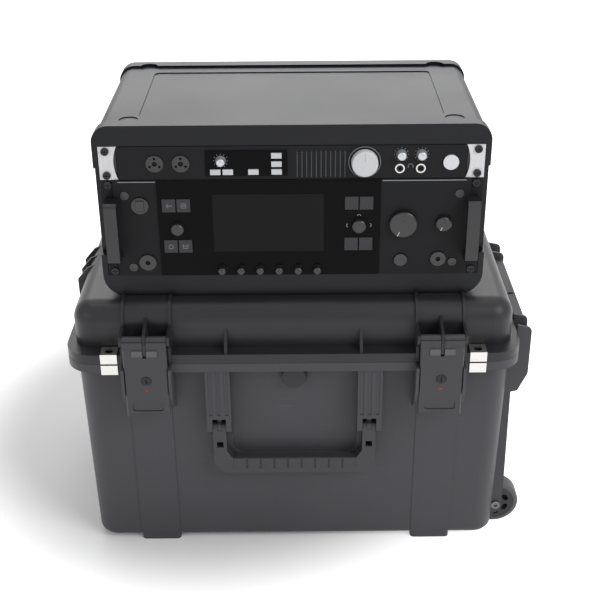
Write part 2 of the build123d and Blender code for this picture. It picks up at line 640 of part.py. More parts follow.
# Pull handle: two telescoping stages, a grip and its release button
with BuildPart() as pull_outer_tubes:
    for side in (-1, 1):
        y = side * pull_tower_y
        block((tube_x - tube_w / 2, tube_x + tube_w / 2), (y - tube_d / 2, y + tube_d / 2),
              (housing_low_z + 5, pull_tower_top_z + 1))
        block((tube_x - tube_w / 2 + tube_t, tube_x + tube_w / 2 - tube_t),
              (y - tube_d / 2 + tube_t, y + tube_d / 2 - tube_t),
              (housing_low_z + 4, pull_tower_top_z + 2), mode=Mode.SUBTRACT)
finish(pull_outer_tubes.part, "pull_outer_tubes")

with BuildPart() as pull_inner_tubes:
    inset = tube_t + play / 2
    for side in (-1, 1):
        y = side * pull_tower_y
        block((tube_x - tube_w / 2 + inset, tube_x + tube_w / 2 - inset),
              (y - tube_d / 2 + inset, y + tube_d / 2 - inset),
              (housing_low_z + 6, pull_grip_z + 4))
finish(pull_inner_tubes.part, "pull_inner_tubes")

with BuildPart() as pull_grip:
    grip_x0, grip_x1 = flange_w / 2 + 2.5, housing_out_x - 2
    grip_y = cheek_in - rib_t - 1.5
    with BuildSketch(Plane.XY.offset(pull_grip_z)):
        with Locations(((grip_x0 + grip_x1) / 2, 0)):
            RectangleRounded(grip_x1 - grip_x0, 2 * grip_y, 5)
    extrude(amount=pull_grip_h)
    fillet(pull_grip.edges().group_by(Axis.Z)[-1], 3)
    for side in (-1, 1):
        y = side * pull_tower_y
        block((tube_x - tube_w / 2 + inset, tube_x + tube_w / 2 - inset),
              (y - tube_d / 2 + inset, y + tube_d / 2 - inset),
              (pull_grip_z - 1, pull_grip_z + 4), mode=Mode.SUBTRACT)
    block((tube_x - 5.4, tube_x + 5.4), (-20.4, 20.4),
          (pull_grip_z + pull_grip_h - 8, pull_grip_z + pull_grip_h + 1), mode=Mode.SUBTRACT)
finish(pull_grip.part, "pull_grip")

with BuildPart() as pull_button:
    block((tube_x - 5, tube_x + 5), (-20, 20),
          (pull_grip_z + pull_grip_h - 5, pull_grip_z + pull_grip_h + 1.5))
finish(pull_button.part, "pull_button")

# Rack shell: a moulded sleeve, open at the front and the back
with BuildPart() as rack_shell:
    rack_mid_z = rack_low_z + rack_h / 2
    rack_depth = rack_back_y - rack_front_y

    def sleeve(grow, y0, depth, mode=Mode.ADD):
        """One length of the sleeve's outline, grown outwards by a step."""
        half = rack_w / 2 - band_proud + grow
        low, high = rack_low_z + band_proud - grow, rack_top_z - band_proud + grow
        with BuildSketch(face_plane(y0)) as outline:
            with Locations((0, (low + high) / 2)):
                Rectangle(2 * half, high - low)
            fillet(outline.vertices().group_by(Axis.Y)[-1], rack_top_r - band_proud + grow)
            fillet(outline.vertices().group_by(Axis.Y)[0], rack_low_r - band_proud + grow)
        extrude(outline.sketch, amount=-depth, mode=mode)

    sleeve(0, rack_front_y, rack_depth)
    sleeve(band_proud, rack_front_y, band_w)
    sleeve(band_proud, rack_back_y - band_w, band_w)
    with BuildSketch(Plane.XY.offset(rack_top_z - band_proud)):
        with Locations((0, (rack_front_y + rack_back_y) / 2)):
            RectangleRounded(rack_w - 110, rack_depth - 90, 8)
    extrude(amount=-top_dish, mode=Mode.SUBTRACT)
    inner_half = rack_w / 2 - band_proud - rack_wall
    block((-inner_half, inner_half), (rack_front_y - 1, rack_back_y + 1),
          (opening_low_z, opening_top_z), mode=Mode.SUBTRACT)
    # Between the valances the front edges of the side walls are set back
    for side in (-1, 1):
        x0, x1 = sorted((side * (inner_half - 1), side * (rack_w / 2 + 1)))
        block((x0, x1), (rack_front_y - 1, rack_front_y + cutback), (cutback_low_z, cutback_high_z),
              mode=Mode.SUBTRACT)
    # Foot recesses in the top
    for side in (-1, 1):
        for y in (-105, 125):
            rod_z(side * 205, y, 12.5, rack_top_z - 4, rack_top_z + 1, mode=Mode.SUBTRACT)
            rod_z(side * 205, y, 11.5, rack_low_z, rack_low_z + band_proud + 1)
finish(rack_shell.part, "rack_shell")

rail_front_y = rack_front_y + panel_t + 0.2
with BuildPart() as rack_rails:
    for y0 in (rail_front_y, rack_back_y - 8 - rail_t):
        for side in (-1, 1):
            x0, x1 = sorted((side * inner_half, side * (inner_half - 22)))
            block((x0, x1), (y0, y0 + rail_t), (opening_low_z + 0.5, opening_top_z - 0.5))
            x0, x1 = sorted((side * inner_half, side * (inner_half - 2.5)))
            block((x0, x1), (y0, y0 + 22 if y0 < 0 else y0 + rail_t), (opening_low_z + 0.5, opening_top_z - 0.5))
            for unit in range(unit_count):
                for hole in (6.35, 22.225, 38.1):
                    rod_y(side * hole_span / 2, opening_low_z + unit * unit_h + hole, 3.2,
                          y0 - 1, y0 + rail_t + 1, mode=Mode.SUBTRACT)
finish(rack_rails.part, "rack_rails")

unit1_low = opening_low_z + 3 * unit_h
unit3_low = opening_low_z
with BuildPart() as panel_screws:
    for side in (-1, 1):
        for z in (unit1_low + 6.35, unit1_low + 38.1, unit3_low + 6.35, unit3_low + 3 * unit_h - 6.35):
            x = side * hole_span / 2
            rod_y(x, z, ear_screw_r, rack_front_y - 2.4, rack_front_y)
            rod_y(x, z, 2.9, rack_front_y, rail_front_y + rail_t + 4)
            block((x - 0.6, x + 0.6), (rack_front_y - 3, rack_front_y - 1.2), (z - 3.4, z + 3.4),
                  mode=Mode.SUBTRACT)
            block((x - 3.4, x + 3.4), (rack_front_y - 3, rack_front_y - 1.2), (z - 0.6, z + 0.6),
                  mode=Mode.SUBTRACT)
finish(panel_screws.part, "panel_screws")


def ear_holes(low, units):
    for side in (-1, 1):
        for z in (low + 6.35, low + units * unit_h - 6.35):
            rod_y(side * hole_span / 2, z, 3.3, rack_front_y - 1, rail_front_y + 1, mode=Mode.SUBTRACT)


def key_pocket(x, z, w, h, face_y):
    """The well that a key runs in, cut from well in front of the face."""
    block((x - w / 2 - seat, x + w / 2 + seat), (face_y - 5, face_y + key_depth + key_travel),
          (z - h / 2 - seat, z + h / 2 + seat), mode=Mode.SUBTRACT)


# One-unit device
face1_y = rack_front_y - 1.5
with BuildPart() as slim_chassis:
    low, high = unit1_low + panel_gap / 2, unit1_low + unit_h - panel_gap / 2
    block((-chassis_w / 2, chassis_w / 2), (rail_front_y, rail_front_y + chassis_1u_d), (low + 0.6, high - 0.6))
    block((-chassis_w / 2 + sheet_t, chassis_w / 2 - sheet_t), (rail_front_y + sheet_t, rail_front_y + chassis_1u_d - sheet_t),
          (low + 0.6 + sheet_t, high - 0.6 - sheet_t), mode=Mode.SUBTRACT)
    block((-218, 218), (face1_y, rail_front_y), (low, high))
    for x, z in slim_keys:
        key_pocket(x, z, slim_key_w, slim_key_h, face1_y)
    rod_y(*power_at, power_r + seat, face1_y - 1, face1_y + key_depth + key_travel, mode=Mode.SUBTRACT)
finish(slim_chassis.part, "slim_chassis")

with BuildPart() as slim_ears:
    for side in (-1, 1):
        with BuildSketch(face_plane(rail_front_y - 0.2)):
            with BuildLine():
                outer, inner, waist = side * panel_w / 2, side * 218.2, side * 223
                Line((outer, low), (outer, high))
                Line((outer, high), (inner, high))
                ThreePointArc((inner, high), (waist, (low + high) / 2), (inner, low))
                Line((inner, low), (outer, low))
            make_face()
        extrude(amount=panel_t)
    ear_holes(unit1_low, 1)
finish(slim_ears.part, "slim_ears")

with BuildPart() as slim_window:
    block((-108.3, -5.4), (face1_y - 1, face1_y), (554.7, 588.5))
    for x, z in slim_keys:
        key_pocket(x, z, slim_key_w, slim_key_h, face1_y)
finish(slim_window.part, "slim_window")

with BuildPart() as slim_jacks:
    for x in (-171.4, -138.7):
        rod_y(x, 571.4, 11, face1_y - 2, face1_y)
        rod_y(x, 571.4, 3.2, face1_y - 3, face1_y, mode=Mode.SUBTRACT)
        for turn in (90, 210, 330):
            with BuildSketch(face_plane(face1_y - 2)):
                with Locations((x, 571.4)):
                    with PolarLocations(7, 1, start_angle=turn):
                        Circle(1.7)
            extrude(amount=-2, mode=Mode.SUBTRACT)
    for x in (135.1, 161.2):
        rod_y(x, 563.6, 6, face1_y - 2, face1_y)
        rod_y(x, 563.6, 3.2, face1_y - 3, face1_y, mode=Mode.SUBTRACT)
finish(slim_jacks.part, "slim_jacks")


def knob(name, x, z, r, face_y, length, cap_r):
    """A turned knob, narrower at its cap, with a pointer line and a running gap off its panel."""
    with BuildPart() as turned:
        with Locations(Location((x, face_y - seat - length / 2, z), (90, 0, 0))):
            Cone(r, cap_r, length)
        front = turned.faces().sort_by(Axis.Y)[0]
        chamfer(front.outer_wire().edges(), min(1.0, cap_r * 0.12))
        block((x - 0.6, x + 0.6), (face_y - seat - length - 1, face_y - seat - length + 0.7),
              (z + 0.3 * cap_r, z + cap_r - 1), mode=Mode.SUBTRACT)
    finish(turned.part, name)


def push_buttons(name, places, w, h, face_y, proud):
    with BuildPart() as keys:
        for x, z in places:
            block((x - w / 2, x + w / 2), (face_y - proud, face_y + key_depth), (z - h / 2, z + h / 2))
    finish(keys.part, name)


knob("slim_input_knob", -88.7, 575.0, 6.8, face1_y - 1, 9, 4.8)
knob("slim_main_dial", 91.0, 571.7, 16.8, face1_y, 10, 16.4)
knob("slim_phones_knob_a", 136.7, 581.4, 6.8, face1_y, 9, 5.2)
knob("slim_phones_knob_b", 161.9, 581.4, 6.8, face1_y, 9, 5.2)
push_buttons("slim_buttons", slim_keys, slim_key_w, slim_key_h, face1_y, 2.2)
with BuildPart() as slim_power_button:
    rod_y(*power_at, power_r, face1_y - 3, face1_y + key_depth)
finish(slim_power_button.part, "slim_power_button")

# Three-unit device
face3_y = rack_front_y - 3.0
low3, high3 = unit3_low + panel_gap / 2, unit3_low + 3 * unit_h - panel_gap / 2
with BuildPart() as tall_chassis:
    block((-chassis_w / 2, chassis_w / 2), (rail_front_y, rail_front_y + chassis_3u_d), (low3 + 1, high3 - 1))
    block((-chassis_w / 2 + sheet_t, chassis_w / 2 - sheet_t), (rail_front_y + sheet_t, rail_front_y + chassis_3u_d - sheet_t),
          (low3 + 1 + sheet_t, high3 - 1 - sheet_t), mode=Mode.SUBTRACT)
finish(tall_chassis.part, "tall_chassis")

with BuildPart() as tall_panel:
    block((-panel_w / 2, panel_w / 2), (rack_front_y + 0.2, rail_front_y), (low3, high3))
    ear_holes(unit3_low, 3)
    block((-226, 226), (face3_y, rack_front_y + 0.2), (low3, high3))
    for x, z in tall_keys.values():
        for i in range(2):
            key_pocket(x + i * tall_key_step, z, tall_key_w, tall_key_h, face3_y)
    rod_y(*round_key_at, round_key_r + seat, face3_y - 1, face3_y + key_depth + key_travel, mode=Mode.SUBTRACT)
finish(tall_panel.part, "tall_panel")

with BuildPart() as tall_front:
    block((-171.2, 112.4), (face3_y - 1.5, face3_y), (low3 + 1, high3 - 1))
    for x, z in tall_keys.values():
        for i in range(2):
            key_pocket(x + i * tall_key_step, z, tall_key_w, tall_key_h, face3_y)
finish(tall_front.part, "tall_front")

glass_y = face3_y - 1.5
with BuildPart() as tall_display:
    block((-101.3, 40), (glass_y - 0.6, glass_y), (451.4, 530.8))
finish(tall_display.part, "tall_display")

with BuildPart() as tall_handles:
    for side in (-1, 1):
        with BuildSketch(side_plane(side * 228.5 - 8)):
            with BuildLine():
                Polyline((rack_front_y, 442), (rack_front_y - 22, 442), (rack_front_y - 25, 443.5),
                         (rack_front_y - 27, 446), (rack_front_y - 27, 521), (rack_front_y - 25, 524.5),
                         (rack_front_y - 22, 526), (rack_front_y, 526),
                         (rack_front_y, 517), (rack_front_y - 17, 517), (rack_front_y - 18.5, 515.5),
                         (rack_front_y - 18.5, 452.5), (rack_front_y - 17, 451), (rack_front_y, 451), close=True)
            make_face()
        extrude(amount=16)
    block((-226, 226), (face3_y, rack_front_y + 1), (low3, high3), mode=Mode.SUBTRACT)
finish(tall_handles.part, "tall_handles")

with BuildPart() as tall_jacks:
    for x, z, r in ((188.7, 438.7, 10), (-188.4, 436, 11)):
        rod_y(x, z, r, face3_y - 2.5, face3_y)
        rod_y(x, z, 3.2, face3_y - 3, face3_y, mode=Mode.SUBTRACT)
    # Round bezel of the power rocker
    rod_y(*rocker_at, 11, face3_y - 2.5, face3_y)
    block((rocker_at[0] - rocker_w / 2 - seat, rocker_at[0] + rocker_w / 2 + seat), (face3_y - 4, face3_y),
          (rocker_at[1] - rocker_h / 2 - 0.8, rocker_at[1] + rocker_h / 2 + 0.8), mode=Mode.SUBTRACT)
    # Small round studs at the panel's corners
    for x, z in ((-212, 529.5), (-207.4, 429), (212, 529.5), (207.4, 434)):
        rod_y(x, z, 5.5, face3_y - 1.2, face3_y)
        rod_y(x, z, 3.6, face3_y - 2, face3_y - 0.6, mode=Mode.SUBTRACT)
finish(tall_jacks.part, "tall_jacks")

knob("tall_preset_knob", -147.0, 484.3, 9.5, glass_y, 7, 7.8)
knob("tall_joystick", 85.1, 486.9, 10.0, glass_y, 7, 8.6)
knob("tall_volume_knob", 141.6, 489.0, 18.5, face3_y, 8, 17.4)
knob("tall_phones_knob", 193.4, 489.0, 11.0, face3_y, 7, 9.8)
for i, x in enumerate((-92.2, -67.4, -42.6, -17.8, 7.0, 31.8)):
    knob(f"tall_encoder_{i + 1}", x, 425.5, 6.6, glass_y, 8, 4.6)
for name, (x, z) in tall_keys.items():
    places = [(x + i * tall_key_step, z) for i in range(2)]
    push_buttons(f"tall_keys_{name}", places, tall_key_w, tall_key_h, face3_y, 3.0)
with BuildPart() as tall_round_key:
    rod_y(*round_key_at, round_key_r, face3_y - 2.5, face3_y + key_depth)
finish(tall_round_key.part, "tall_round_key")
with BuildPart() as tall_rocker:
    block((rocker_at[0] - rocker_w / 2, rocker_at[0] + rocker_w / 2), (face3_y - 3.6, face3_y - 0.9),
          (rocker_at[1] - rocker_h / 2, rocker_at[1] + rocker_h / 2))
finish(tall_rocker.part, "tall_rocker")
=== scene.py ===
import bpy, bmesh, math
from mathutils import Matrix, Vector


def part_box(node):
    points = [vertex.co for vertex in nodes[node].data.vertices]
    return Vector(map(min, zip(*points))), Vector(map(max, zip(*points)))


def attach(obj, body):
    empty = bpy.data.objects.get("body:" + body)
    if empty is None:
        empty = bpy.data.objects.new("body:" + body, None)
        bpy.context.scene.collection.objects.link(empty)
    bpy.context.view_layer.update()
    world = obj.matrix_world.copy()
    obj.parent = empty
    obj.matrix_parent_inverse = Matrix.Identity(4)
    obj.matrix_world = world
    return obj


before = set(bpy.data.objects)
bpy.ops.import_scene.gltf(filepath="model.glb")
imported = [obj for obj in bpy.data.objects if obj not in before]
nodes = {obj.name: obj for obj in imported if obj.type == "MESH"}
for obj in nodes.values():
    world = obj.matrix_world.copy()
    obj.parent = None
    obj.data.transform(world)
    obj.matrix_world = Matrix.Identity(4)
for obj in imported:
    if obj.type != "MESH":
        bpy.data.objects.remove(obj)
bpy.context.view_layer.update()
print("frame loaded:", len(nodes), "nodes")


# Shader groups shared by the finishes
def newGroup(name, inputs, outputs):
    group = bpy.data.node_groups.new(name, "ShaderNodeTree")
    for socketName, kind, value in inputs:
        socket = group.interface.new_socket(socketName, in_out="INPUT", socket_type=kind)
        socket.default_value = value
    for socketName, kind in outputs:
        group.interface.new_socket(socketName, in_out="OUTPUT", socket_type=kind)
    start = group.nodes.new("NodeGroupInput")
    end = group.nodes.new("NodeGroupOutput")
    return group, start, end


def buildMouldedGroup():
    group, start, end = newGroup("mouldedSkin", [
        ("Colour", "NodeSocketColor", (0.1, 0.1, 0.1, 1)),
        ("Colour Far", "NodeSocketColor", (0.12, 0.12, 0.12, 1)),
        ("Grain Scale", "NodeSocketFloat", 900.0), ("Cloud Scale", "NodeSocketFloat", 9.0),
        ("Roughness", "NodeSocketFloat", 0.45), ("Spread", "NodeSocketFloat", 0.12),
        ("Grain Height", "NodeSocketFloat", 0.15), ("Scuff", "NodeSocketFloat", 0.0),
        ("Scuff Colour", "NodeSocketColor", (0.3, 0.3, 0.3, 1))],
        [("Colour", "NodeSocketColor"), ("Roughness", "NodeSocketFloat"), ("Normal", "NodeSocketVector")])
    add, link = group.nodes.new, group.links.new
    coords = add("ShaderNodeTexCoord")
    grain = add("ShaderNodeTexNoise")
    grain.inputs["Detail"].default_value = 3.0
    cloud = add("ShaderNodeTexNoise")
    cloud.inputs["Detail"].default_value = 5.0
    link(coords.outputs["Object"], grain.inputs["Vector"])
    link(coords.outputs["Object"], cloud.inputs["Vector"])
    link(start.outputs["Grain Scale"], grain.inputs["Scale"])
    link(start.outputs["Cloud Scale"], cloud.inputs["Scale"])
    mix = add("ShaderNodeMix")
    mix.data_type = "RGBA"
    link(cloud.outputs["Fac"], mix.inputs["Factor"])
    link(start.outputs["Colour"], mix.inputs["A"])
    link(start.outputs["Colour Far"], mix.inputs["B"])
    # Fine pale rubs: thin stretched streaks, kept only where the cloud is strong
    stretch = add("ShaderNodeVectorMath")
    stretch.operation = "MULTIPLY"
    stretch.inputs[1].default_value = (30.0, 30.0, 420.0)
    link(coords.outputs["Object"], stretch.inputs[0])
    streaks = add("ShaderNodeTexNoise")
    streaks.inputs["Scale"].default_value = 1.0
    streaks.inputs["Detail"].default_value = 6.0
    streaks.inputs["Roughness"].default_value = 0.7
    link(stretch.outputs[0], streaks.inputs["Vector"])
    pick = add("ShaderNodeMapRange")
    pick.inputs["From Min"].default_value = 0.58
    pick.inputs["From Max"].default_value = 0.78
    link(streaks.outputs["Fac"], pick.inputs["Value"])
    gate = add("ShaderNodeMapRange")
    gate.inputs["From Min"].default_value = 0.45
    gate.inputs["From Max"].default_value = 0.7
    link(cloud.outputs["Fac"], gate.inputs["Value"])
    both = add("ShaderNodeMath")
    both.operation = "MULTIPLY"
    link(pick.outputs["Result"], both.inputs[0])
    link(gate.outputs["Result"], both.inputs[1])
    amount = add("ShaderNodeMath")
    amount.operation = "MULTIPLY"
    link(both.outputs[0], amount.inputs[0])
    link(start.outputs["Scuff"], amount.inputs[1])
    worn = add("ShaderNodeMix")
    worn.data_type = "RGBA"
    link(amount.outputs[0], worn.inputs["Factor"])
    link(mix.outputs["Result"], worn.inputs["A"])
    link(start.outputs["Scuff Colour"], worn.inputs["B"])
    link(worn.outputs["Result"], end.inputs["Colour"])
    # Roughness wanders with the cloud and the grain
    spread = add("ShaderNodeMath")
    spread.operation = "MULTIPLY_ADD"
    link(cloud.outputs["Fac"], spread.inputs[0])
    link(start.outputs["Spread"], spread.inputs[1])
    link(start.outputs["Roughness"], spread.inputs[2])
    link(spread.outputs[0], end.inputs["Roughness"])
    bump = add("ShaderNodeBump")
    bump.inputs["Distance"].default_value = 0.0004
    link(start.outputs["Grain Height"], bump.inputs["Strength"])
    link(grain.outputs["Fac"], bump.inputs["Height"])
    link(bump.outputs["Normal"], end.inputs["Normal"])
    return group


def buildBrushedGroup():
    group, start, end = newGroup("brushedSkin", [
        ("Colour", "NodeSocketColor", (0.6, 0.6, 0.6, 1)),
        ("Colour Far", "NodeSocketColor", (0.5, 0.5, 0.5, 1)),
        ("Stretch", "NodeSocketVector", (20, 900, 900)), ("Roughness", "NodeSocketFloat", 0.3),
        ("Spread", "NodeSocketFloat", 0.15), ("Height", "NodeSocketFloat", 0.08)],
        [("Colour", "NodeSocketColor"), ("Roughness", "NodeSocketFloat"), ("Normal", "NodeSocketVector")])
    add, link = group.nodes.new, group.links.new
    coords = add("ShaderNodeTexCoord")
    scale = add("ShaderNodeVectorMath")
    scale.operation = "MULTIPLY"
    link(coords.outputs["Object"], scale.inputs[0])
    link(start.outputs["Stretch"], scale.inputs[1])
    lines = add("ShaderNodeTexNoise")
    lines.inputs["Scale"].default_value = 1.0
    lines.inputs["Detail"].default_value = 4.0
    link(scale.outputs[0], lines.inputs["Vector"])
    mix = add("ShaderNodeMix")
    mix.data_type = "RGBA"
    link(lines.outputs["Fac"], mix.inputs["Factor"])
    link(start.outputs["Colour"], mix.inputs["A"])
    link(start.outputs["Colour Far"], mix.inputs["B"])
    link(mix.outputs["Result"], end.inputs["Colour"])
    spread = add("ShaderNodeMath")
    spread.operation = "MULTIPLY_ADD"
    link(lines.outputs["Fac"], spread.inputs[0])
    link(start.outputs["Spread"], spread.inputs[1])
    link(start.outputs["Roughness"], spread.inputs[2])
    link(spread.outputs[0], end.inputs["Roughness"])
    bump = add("ShaderNodeBump")
    bump.inputs["Distance"].default_value = 0.0002
    link(start.outputs["Height"], bump.inputs["Strength"])
    link(lines.outputs["Fac"], bump.inputs["Height"])
    link(bump.outputs["Normal"], end.inputs["Normal"])
    return group


def linear(grey):
    def one(c):
        c /= 255
        return c / 12.92 if c <= 0.04045 else ((c + 0.055) / 1.055) ** 2.4
    return (one(grey[0]), one(grey[1]), one(grey[2]), 1)


skinGroups = {"moulded": buildMouldedGroup(), "brushed": buildBrushedGroup()}


def makeFinish(name, kind, near, far, values, metallic=0.0, coat=0.0, coatRough=0.1, specular=0.3):
    material = bpy.data.materials.new(name)
    material.use_nodes = True
    tree = material.node_tree
    shader = tree.nodes["Principled BSDF"]
    skin = tree.nodes.new("ShaderNodeGroup")
    skin.node_tree = skinGroups[kind]
    skin.inputs["Colour"].default_value = linear(near)
    skin.inputs["Colour Far"].default_value = linear(far)
    for socketName, value in values.items():
        skin.inputs[socketName].default_value = value
    tree.links.new(skin.outputs["Colour"], shader.inputs["Base Color"])
    tree.links.new(skin.outputs["Roughness"], shader.inputs["Roughness"])
    tree.links.new(skin.outputs["Normal"], shader.inputs["Normal"])
    shader.inputs["Metallic"].default_value = metallic
    shader.inputs["Coat Weight"].default_value = coat
    shader.inputs["Coat Roughness"].default_value = coatRough
    shader.inputs["Specular IOR Level"].default_value = specular
    return material


finishes = {
    "caseShell": makeFinish("caseShell", "moulded", (67, 66, 71), (75, 74, 79),
                            {"Grain Scale": 1400, "Roughness": 0.4, "Spread": 0.12, "Grain Height": 0.3,
                             "Scuff": 0.35, "Scuff Colour": linear((128, 127, 131))}),
    # Painted shade: the lid is the same plastic as the base, coloured darker to stand for the shade and
    # dark reflections on it
    "lidShell": makeFinish("lidShell", "moulded", (36, 36, 39), (44, 44, 47),
                           {"Grain Scale": 1400, "Roughness": 0.32, "Spread": 0.1, "Grain Height": 0.3,
                            "Scuff": 0.3, "Scuff Colour": linear((94, 94, 97))}, specular=0.32),
    "latchSkin": makeFinish("latchSkin", "moulded", (55, 54, 58), (63, 62, 66),
                            {"Grain Scale": 1400, "Roughness": 0.34, "Spread": 0.1, "Grain Height": 0.25,
                             "Scuff": 0.3, "Scuff Colour": linear((112, 112, 115))}, specular=0.36),
    "darkMoulding": makeFinish("darkMoulding", "moulded", (46, 46, 50), (54, 54, 58),
                               {"Grain Scale": 1500, "Roughness": 0.42, "Grain Height": 0.2,
                                "Scuff": 0.3, "Scuff Colour": linear((92, 92, 96))}),
    "rackSkin": makeFinish("rackSkin", "moulded", (13, 14, 20), (17, 18, 25),
                           {"Grain Scale": 900, "Cloud Scale": 5, "Roughness": 0.3, "Spread": 0.14,
                            "Grain Height": 0.2, "Scuff": 0.2, "Scuff Colour": linear((70, 70, 74))},
                           specular=0.24),
    "softGrip": makeFinish("softGrip", "moulded", (70, 70, 73), (78, 78, 81),
                           {"Grain Scale": 1200, "Roughness": 0.62, "Grain Height": 0.3}),
    "sealRubber": makeFinish("sealRubber", "moulded", (20, 20, 20), (26, 26, 26), {"Roughness": 0.7}),
    "wheelTread": makeFinish("wheelTread", "moulded", (96, 96, 100), (106, 106, 110),
                             {"Grain Scale": 600, "Roughness": 0.5, "Grain Height": 0.3,
                              "Scuff": 0.6, "Scuff Colour": linear((120, 118, 116))}),
    "plateSteel": makeFinish("plateSteel", "brushed", (215, 213, 210), (185, 184, 182),
                             {"Stretch": (60, 1500, 1500), "Roughness": 0.26}, metallic=1.0),
    "pinSteel": makeFinish("pinSteel", "brushed", (120, 118, 118), (88, 87, 88),
                           {"Stretch": (300, 900, 900), "Roughness": 0.32}, metallic=1.0),
    "screwBlack": makeFinish("screwBlack", "brushed", (58, 58, 60), (34, 34, 36),
                             {"Stretch": (400, 400, 400), "Roughness": 0.3}, metallic=0.8),
    "blackSteel": makeFinish("blackSteel", "moulded", (24, 24, 27), (32, 32, 35),
                             {"Grain Scale": 1800, "Roughness": 0.28, "Grain Height": 0.2}, specular=0.5),
    "earMetal": makeFinish("earMetal", "brushed", (222, 222, 224), (206, 206, 209),
                           {"Stretch": (500, 500, 30), "Roughness": 0.45, "Spread": 0.1}, metallic=0.35),
    "facePaint": makeFinish("facePaint", "moulded", (28, 28, 30), (35, 35, 37),
                            {"Grain Scale": 2400, "Roughness": 0.44, "Grain Height": 0.3}, specular=0.12),
    "glossBlack": makeFinish("glossBlack", "moulded", (12, 12, 13), (16, 16, 17),
                             {"Roughness": 0.2, "Spread": 0.05, "Grain Height": 0.02}, specular=0.05),
    "displayGlass": makeFinish("displayGlass", "moulded", (31, 31, 32), (36, 36, 37),
                               {"Cloud Scale": 3.0, "Roughness": 0.22, "Spread": 0.04, "Grain Height": 0.0},
                               specular=0.05),
    "knobBlack": makeFinish("knobBlack", "moulded", (26, 26, 28), (34, 34, 36),
                            {"Grain Scale": 1800, "Roughness": 0.24, "Grain Height": 0.12}, specular=0.55),
    "keyGrey": makeFinish("keyGrey", "moulded", (52, 52, 55), (58, 58, 61),
                          {"Grain Scale": 1800, "Roughness": 0.42, "Grain Height": 0.15}),
    "padGrey": makeFinish("padGrey", "moulded", (96, 96, 99), (108, 108, 111),
                          {"Grain Scale": 1300, "Roughness": 0.5, "Grain Height": 0.2}),
    "knobSilver": makeFinish("knobSilver", "brushed", (206, 208, 212), (178, 180, 185),
                             {"Stretch": (900, 60, 900), "Roughness": 0.34}, metallic=0.7),
    "whiteCap": makeFinish("whiteCap", "moulded", (218, 220, 223), (228, 230, 233),
                           {"Grain Scale": 1500, "Roughness": 0.36, "Grain Height": 0.05}),
    "printWhite": makeFinish("printWhite", "moulded", (205, 206, 208), (216, 217, 219),
                             {"Grain Scale": 2500, "Roughness": 0.6, "Grain Height": 0.02}),
    "printGrey": makeFinish("printGrey", "moulded", (128, 134, 138), (150, 156, 160),
                            {"Grain Scale": 2500, "Roughness": 0.55, "Grain Height": 0.02}),
    "dotRed": makeFinish("dotRed", "moulded", (176, 44, 42), (188, 56, 52),
                         {"Grain Scale": 2500, "Roughness": 0.5, "Grain Height": 0.02}),
}

# Nodes that aren't listed are black: the jacks, knobs, encoders, round key and rocker
nodeFinish = {
    "caseShell": ["base_shell"],
    "lidShell": ["lid_shell"],
    "latchSkin": ["latch_plate_left", "latch_plate_right", "carry_handle"],
    "darkMoulding": ["purge_valve", "pull_grip", "pull_button", "wheel_hub_front", "wheel_hub_rear"],
    "padGrey": ["latch_trigger_left", "latch_trigger_right"],
    "sealRubber": ["lid_gasket"], "softGrip": ["handle_pad"],
    "pinSteel": ["case_pins", "latch_pins"],
    "screwBlack": ["panel_screws", "latch_lock_left", "latch_lock_right"],
    "plateSteel": ["base_padlock_plates", "lid_padlock_plates"],
    "earMetal": ["pull_outer_tubes", "pull_inner_tubes", "slim_ears"],
    "wheelTread": ["wheel_tyre_front", "wheel_tyre_rear"],
    "rackSkin": ["rack_shell"],
    "blackSteel": ["rack_rails", "tall_chassis", "tall_handles"],
    "facePaint": ["slim_chassis", "tall_panel"],
    "glossBlack": ["slim_window", "tall_front"], "displayGlass": ["tall_display"],
    "whiteCap": ["slim_buttons", "slim_main_dial"],
    "knobSilver": ["slim_power_button", "slim_input_knob", "slim_phones_knob_a", "slim_phones_knob_b"],
    "keyGrey": ["tall_keys_upper_left", "tall_keys_lower_left", "tall_keys_upper_right",
                "tall_keys_lower_right"],
}
finishOf = {node: finish for finish, group in nodeFinish.items() for node in group}
for name, node in nodes.items():
    finish = finishes[finishOf.get(name, "knobBlack")]
    node.data.materials.clear()
    node.data.materials.append(finish)
print("materials assigned")


# Flat printed marks and thin rings on the two front faces, given as (x, z) in mm about the shell's middle
middleX = (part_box("slim_chassis")[0][0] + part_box("slim_chassis")[1][0]) / 2
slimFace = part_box("slim_chassis")[0][1]
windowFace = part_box("slim_window")[0][1]
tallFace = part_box("tall_panel")[0][1]
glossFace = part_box("tall_front")[0][1]
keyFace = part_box("tall_keys_upper_left")[0][1]


def addPiece(name, mesh, finish, body):
    mesh.materials.clear()
    mesh.materials.append(finishes[finish])
    piece = bpy.data.objects.new(name, mesh)
    bpy.context.scene.collection.objects.link(piece)
    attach(piece, body)
    return piece


def growMesh(name, tree, values):
    carrier = bpy.data.objects.new(name, bpy.data.meshes.new(name))
    bpy.context.scene.collection.objects.link(carrier)
    modifier = carrier.modifiers.new("grow", "NODES")
    modifier.node_group = tree
    for item in tree.interface.items_tree:
        if item.item_type == "SOCKET" and item.in_out == "INPUT" and item.name in values:
            modifier[item.identifier] = values[item.name]
    graph = bpy.context.evaluated_depsgraph_get()
    grown = bpy.data.meshes.new_from_object(carrier.evaluated_get(graph))
    carrier.modifiers.remove(modifier)
    bpy.data.objects.remove(carrier)
    return grown


def newTree(name, sockets):
    tree = bpy.data.node_groups.new(name, "GeometryNodeTree")
    for socketName, kind, value in sockets:
        socket = tree.interface.new_socket(socketName, in_out="INPUT", socket_type=kind)
        if value is not None:
            socket.default_value = value
    tree.interface.new_socket("Geometry", in_out="OUTPUT", socket_type="NodeSocketGeometry")
    return tree, tree.nodes.new("NodeGroupInput"), tree.nodes.new("NodeGroupOutput")


